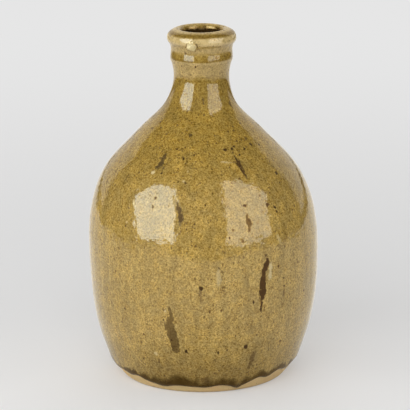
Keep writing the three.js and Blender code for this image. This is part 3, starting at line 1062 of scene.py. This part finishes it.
olive, tree, shader, spot, ash = pot_finish("olive_glaze")
place, height, radius = spot["Place"], spot["Height"], spot["Radius"]
colour = mixed(tree, times_plus(tree, ash["Fine"], 0.5, 0.5), OLIVE_DARK, OLIVE_PALE)
drift = mixed(tree, times_plus(tree, ash["Mottle"], 0.5, 0.5), ASHEN_TINT, AMBER_TINT)
colour = mixed(tree, 1.0, colour, drift, way="MULTIPLY")
tone = 1.0
for pattern, amount in TONES.items():
    tone = times_plus(tree, ash[pattern], amount, tone)
across = node(tree, "SeparateXYZ", {"Vector": place}).outputs["X"]
sideways = sums(tree, "ABSOLUTE", across)
# flat_on is 1 where the wall faces the front or back, and 0 at its sides.
flat_on = ramp(tree, sideways, 48.0, 24.0)
# Painted shade: the flanks under the shoulder, the wall round the foot and the left side of the neck are
# darkened.
flank_shade = times(tree, ramp(tree, sideways, 20.0, 50.0), zone(tree, height, 112.0, 126.0, 140.0, 158.0))
nape_shade = times(tree, ramp(tree, across, -9.0, -16.0), zone(tree, height, 160.0, 168.0, 183.0, 189.0))
foot_shade = times(tree, flat_on, ramp(tree, height, 50.0, 12.0))
for shade in (flank_shade, foot_shade, nape_shade):
    tone = times(tree, tone, times_plus(tree, shade, SHADE, 1.0))
colour = toned(tree, colour, tone)
# Painted shade in part: the shoulder's tint makes it darker and less blue, for thicker glass and for the
# dark room above.
thickness_and_shade = mixed(tree, ramp(tree, height, 118.0, 160.0), THIN_TINT, THICK_SHADED_TINT)
colour = mixed(tree, 1.0, colour, thickness_and_shade, way="MULTIPLY")
print("olive glass:", len(tree.nodes), "nodes")

# %% [markdown]
# Glass that ran thin is pale: on the roll of the lip, under it, on the ridge of the collar, on
# the flare of the neck and on the crest of the rim. These pale zones are partly thin glass and
# partly a painted reflection of the white table and the pale backdrop. Each place is a share
# of pale glaze and a zone of heights.

# %% Where the glaze is thin
# The pale glaze also stands in for a painted reflection of the table and backdrop.
PALE_GLAZE_AND_REFLECTION = linear(222, 196, 138)
PALE_AND_REFLECTING_PLACES = {
    "lip": (0.95, 210.6, 213.0, 216.2, 217.6),
    "under_lip": (0.42, 204.8, 208.0, 211.0, 213.0),
    "ridge": (0.5, 199.4, 200.6, 201.2, 202.2),
    "flare": (0.36, 189.5, 194.0, 200.0, 201.0),
}

# Pale glaze and painted reflection; half a share on the crest of the rim.
thin = times(tree, ramp(tree, height, 218.6, 219.5), 0.5)
for share, *heights in PALE_AND_REFLECTING_PLACES.values():
    thin = larger(tree, thin, times(tree, zone(tree, height, *heights), share))
patchy = times_plus(tree, ash["Mottle"], 0.22, 0.9)
patchy = times_plus(tree, ash["Fine"], 0.3, patchy)
colour = mixed(tree, sums(tree, "MULTIPLY", thin, patchy, clamp=True), colour, PALE_GLAZE_AND_REFLECTION)
print("thin places:", list(PALE_AND_REFLECTING_PLACES))

# %% [markdown]
# Glass that gathered is dark: in the band along the lower edge, in the groove over the ridge
# and inside the rim. The band follows the edge by the attribute that the coat's mesh carries,
# and noise lets it wander. Above the band, at the front and back, the colour also darkens
# towards the foot: that is painted shade. Down in the mouth the colour is darkest: painted
# shade for the inside of the neck.

# %% Where the glaze is thick
# This colour paints the band of gathered glass and, above it, painted shade towards the foot.
POOLED_AND_SHADE = linear(100, 74, 24)
# The next colour is painted shade for the inside of the mouth.
PAINTED_MOUTH_SHADE = linear(88, 60, 22)
BAND_WANDER = {"Clouds": 1.8, "Runs": 1.5, "Fine": 0.5}

over_edge = node(tree, "Attribute", attribute_name="above_edge").outputs["Fac"]
for pattern, amount in BAND_WANDER.items():
    over_edge = times_plus(tree, ash[pattern], amount, over_edge)
band = times_plus(tree, flat_on, 5.0, 5.2)
pool = times(tree, ramp(tree, over_edge, band, 2.6), times_plus(tree, ash["Mottle"], 0.08, 0.92))
# Painted shade: at the front and back the colour darkens towards the foot, from 28 mm above the glaze's
# edge.
low = times(tree, flat_on, ramp(tree, over_edge, 28.0, 8.0, 0.0, 0.24))
groove = times(tree, zone(tree, height, 201.4, 202.2, 202.6, 204.0), 0.22)
outer = ramp(tree, radius, 15.6, 16.4)
rim = times(tree, zone(tree, height, 216.6, 217.9, 218.4, 219.4), times(tree, outer, 0.42))
pooled_and_low_shade = pool
for part in (low, groove, rim):
    pooled_and_low_shade = larger(tree, pooled_and_low_shade, part)
colour = mixed(tree, pooled_and_low_shade, colour, POOLED_AND_SHADE)

# Painted shade inside the mouth: darkest from a few millimetres below the rim downwards.
mouth = times(tree, sums(tree, "SUBTRACT", 1.0, outer), ramp(tree, height, 180.0, 190.0))
down = times_plus(tree, ash["Mottle"], 0.8, height)
mouth_shade = times(tree, mouth, ramp(tree, down, 219.0, 216.4))
colour = mixed(tree, times(tree, mouth_shade, 0.93), colour, PAINTED_MOUTH_SHADE)
print("with thin and thick glass:", len(tree.nodes), "nodes")

# %% [markdown]
# Flecks, streaks and dots go on top. Four sizes of fleck are laid one over the other, and the
# smallest crowd in some places. The streaks' place is warped, and their edges are made ragged,
# by noise that is drawn out in height.

# %% Flecks and streaks
IRON = linear(68, 45, 12)
RUST = linear(106, 68, 22)
FLECK = linear(84, 52, 2)
BLEB = linear(232, 212, 158)
CROWDING_PITCH = 3.0
FLECK_SIZES = [
    (1.4, 0.42, 0.5, 0.85, FLECK),
    (2.6, 0.55, 0.6, 1.0, FLECK),
    (5.5, 0.62, 0.5, 1.0, FLECK),
    (11.0, 0.85, 0.45, 0.95, IRON),
]

crowded = ramp(tree, sums(tree, "ADD", ash["Clouds"], ash["Mottle"]), -0.9, 0.9, 0.25, 1.0)
burnt = 0.0
for pitch, size, share, strength, paint in FLECK_SIZES:
    spots = flecked(tree, place, pitch, size, share)
    if pitch < CROWDING_PITCH:
        strength = times(tree, crowded, strength)
    spots = times(tree, spots, strength)
    colour = mixed(tree, spots, colour, paint)
    burnt = larger(tree, burnt, spots)

torn = warped(tree, place, 3.6, 0.42, 3.0, (1.0, 1.0, 0.5))
ragged = noise_at(tree, vector_sums(tree, "MULTIPLY", place, (1.0, 1.0, 0.4)), 0.75, detail=3.0)
ragged = ramp(tree, ragged, 0.32, 0.6, 0.35, 1.3)
bleb = painted(tree, torn, PALE_BLEBS, 1.7, 1.3)
colour = mixed(tree, times(tree, bleb, 0.9), colour, BLEB)
faint = painted(tree, torn, FAINT_STREAKS, ragged, 0.75)
colour = mixed(tree, times(tree, faint, 0.85), colour, FLECK)
streak = painted(tree, torn, IRON_STREAKS, ragged, 0.6)
dots = painted(tree, torn, [(1.0, dot) for dot in IRON_DOTS])
iron = larger(tree, streak, dots)
rusty = mixed(tree, ramp(tree, ash["Fine"], 0.0, 1.0, 0.0, 0.4), IRON, RUST)
colour = mixed(tree, iron, colour, rusty)
print("with flecks and streaks:", len(tree.nodes), "nodes")

# %% [markdown]
# Last comes the shine. Iron that boiled out to the surface shines like metal and tints what it
# mirrors, so flecks, streaks and pools stay warm and dark, and they are rougher than the glass
# round them. One layer does it: a smooth Principled surface with glass's own index of
# refraction.

# %% Coat of glass
METAL_IN_FLECKS = 0.6
METAL_IN_STREAKS = 0.66
METAL_IN_MOUTH = 0.7
METAL_IN_POOL = 0.8
ROUGHNESS = 0.07
BURNT_ROUGHNESS = 0.45
INNER_ROLL_ROUGHNESS = 0.12
PIT_ROUGHNESS = 0.3


def bumped(tree, shader, height):
    """Bends the shader's normal by a height in millimetres."""
    bump = node(tree, "Bump", {"Height": height, "Distance": MM, "Strength": 1.0})
    feed(tree, shader.inputs["Normal"], bump.outputs[0])


glass = use(tree, skin, {"Place": place, "Height": height, "Pits": 0.35})
bumped(tree, shader, glass["Height"])
metal = times(tree, burnt, METAL_IN_FLECKS)
# The mouth's metal belongs to its painted shade: it darkens and tints what the glaze mirrors there.
for part, share in ((iron, METAL_IN_STREAKS), (mouth_shade, METAL_IN_MOUTH), (pool, METAL_IN_POOL)):
    metal = larger(tree, metal, times(tree, part, share))
rough = times_plus(tree, glass["Pits"], PIT_ROUGHNESS, ROUGHNESS)
rough = times_plus(tree, larger(tree, burnt, iron), BURNT_ROUGHNESS, rough)
inner_roll = times(tree, mouth, ramp(tree, height, 216.0, 217.5))
rough = times_plus(tree, inner_roll, INNER_ROLL_ROUGHNESS, rough)
fill(tree, shader, {"Base Color": colour, "Metallic": metal, "Roughness": rough, "IOR": GLASS_IOR})
olive_glaze_coat.data.materials.append(olive)
print("olive glaze:", len(tree.nodes), "nodes")

# %% [markdown]
# ## The lining glaze
#
# The same glass, darker and more golden. Its darkness is painted shade, for the inside of the
# bottle that gets little light. It shares the grain, the flecks and the dimpled skin.

# %% Lining glaze
# The lining's colours hold painted shade for the dim inside of the bottle.
LINING_IN_SHADE = linear(84, 62, 26)
LINING_DARK_IN_SHADE = linear(58, 42, 18)

lining, tree, shader, spot, ash = pot_finish("lining_glaze")
place = spot["Place"]
colour = mixed(tree, ramp(tree, ash["Fine"], -1.0, 1.0), LINING_DARK_IN_SHADE, LINING_IN_SHADE)
colour = mixed(tree, times(tree, flecked(tree, place, 2.6, 0.34, 0.5), 0.7), colour, IRON)
glass = use(tree, skin, {"Place": place, "Height": 200.0, "Pits": 0.2})
bumped(tree, shader, glass["Height"])
rough = times_plus(tree, glass["Pits"], PIT_ROUGHNESS, 0.10)
fill(tree, shader, {"Base Color": colour, "Roughness": rough, "IOR": GLASS_IOR})
lining_coat.data.materials.append(lining)
print("lining glaze:", len(tree.nodes), "nodes")

# %% [markdown]
# ## The bare clay
#
# Fired stoneware without glaze is matt and gritty. Its buff colour carries a warm blush, sandy
# grains and iron specks, and the trimming tool has dragged some grains out and left pits.

# %% Bare clay
BUFF = linear(250, 222, 164)
BUFF_DARK = linear(232, 198, 136)
BLUSH = linear(244, 204, 144)
CLAY_SPECK = linear(120, 84, 44)
SAND_PITCH = 0.7
SAND_DEPTH = 0.10
DRAG_PIT_DEPTH = 0.3

clay, tree, shader, spot, ash = pot_finish("bare_stoneware")
place = spot["Place"]
colour = mixed(tree, ramp(tree, ash["Fine"], -1.0, 1.0), BUFF_DARK, BUFF)
colour = mixed(tree, 0.6, BUFF, colour)
colour = mixed(tree, times_plus(tree, ash["Clouds"], 0.3, 0.3), colour, BLUSH)
specks = flecked(tree, place, 2.4, 0.32, 0.4)
colour = mixed(tree, times(tree, specks, 0.75), colour, CLAY_SPECK)
sand = times(tree, noise_at(tree, place, 1 / SAND_PITCH, detail=3.0), SAND_DEPTH)
sand = times_plus(tree, flecked(tree, place, 3.4, 0.45, 0.4), -DRAG_PIT_DEPTH, sand)
bumped(tree, shader, sand)
fill(tree, shader, {"Base Color": colour, "Roughness": times_plus(tree, ash["Fine"], 0.06, 0.86)})
thrown_clay.data.materials.append(clay)
print("bare clay:", len(tree.nodes), "nodes")

# %% [markdown]
# ## The grit
#
# The crumb is pale fireclay with a thin skin of glaze over it, so it has the clay's sandy
# grain in a cream colour and a low, broken shine.

# %% Grit finish
CREAM = linear(234, 216, 156)
CREAM_DARK = linear(206, 184, 132)
GRIT_SAND_PITCH = 0.625
GRIT_SAND_DEPTH = 0.25

grit, tree, shader, spot, ash = pot_finish("fused_grit")
place = spot["Place"]
colour = mixed(tree, ramp(tree, ash["Fine"], -0.8, 0.8), CREAM_DARK, CREAM)
sand = times(tree, noise_at(tree, place, 1 / GRIT_SAND_PITCH, detail=3.0), GRIT_SAND_DEPTH)
bumped(tree, shader, sand)
fill(tree, shader, {"Base Color": colour, "Roughness": times_plus(tree, ash["Fine"], 0.1, 0.35)})
grit_crumb.data.materials.append(grit)
print("grit finish:", len(tree.nodes), "nodes")
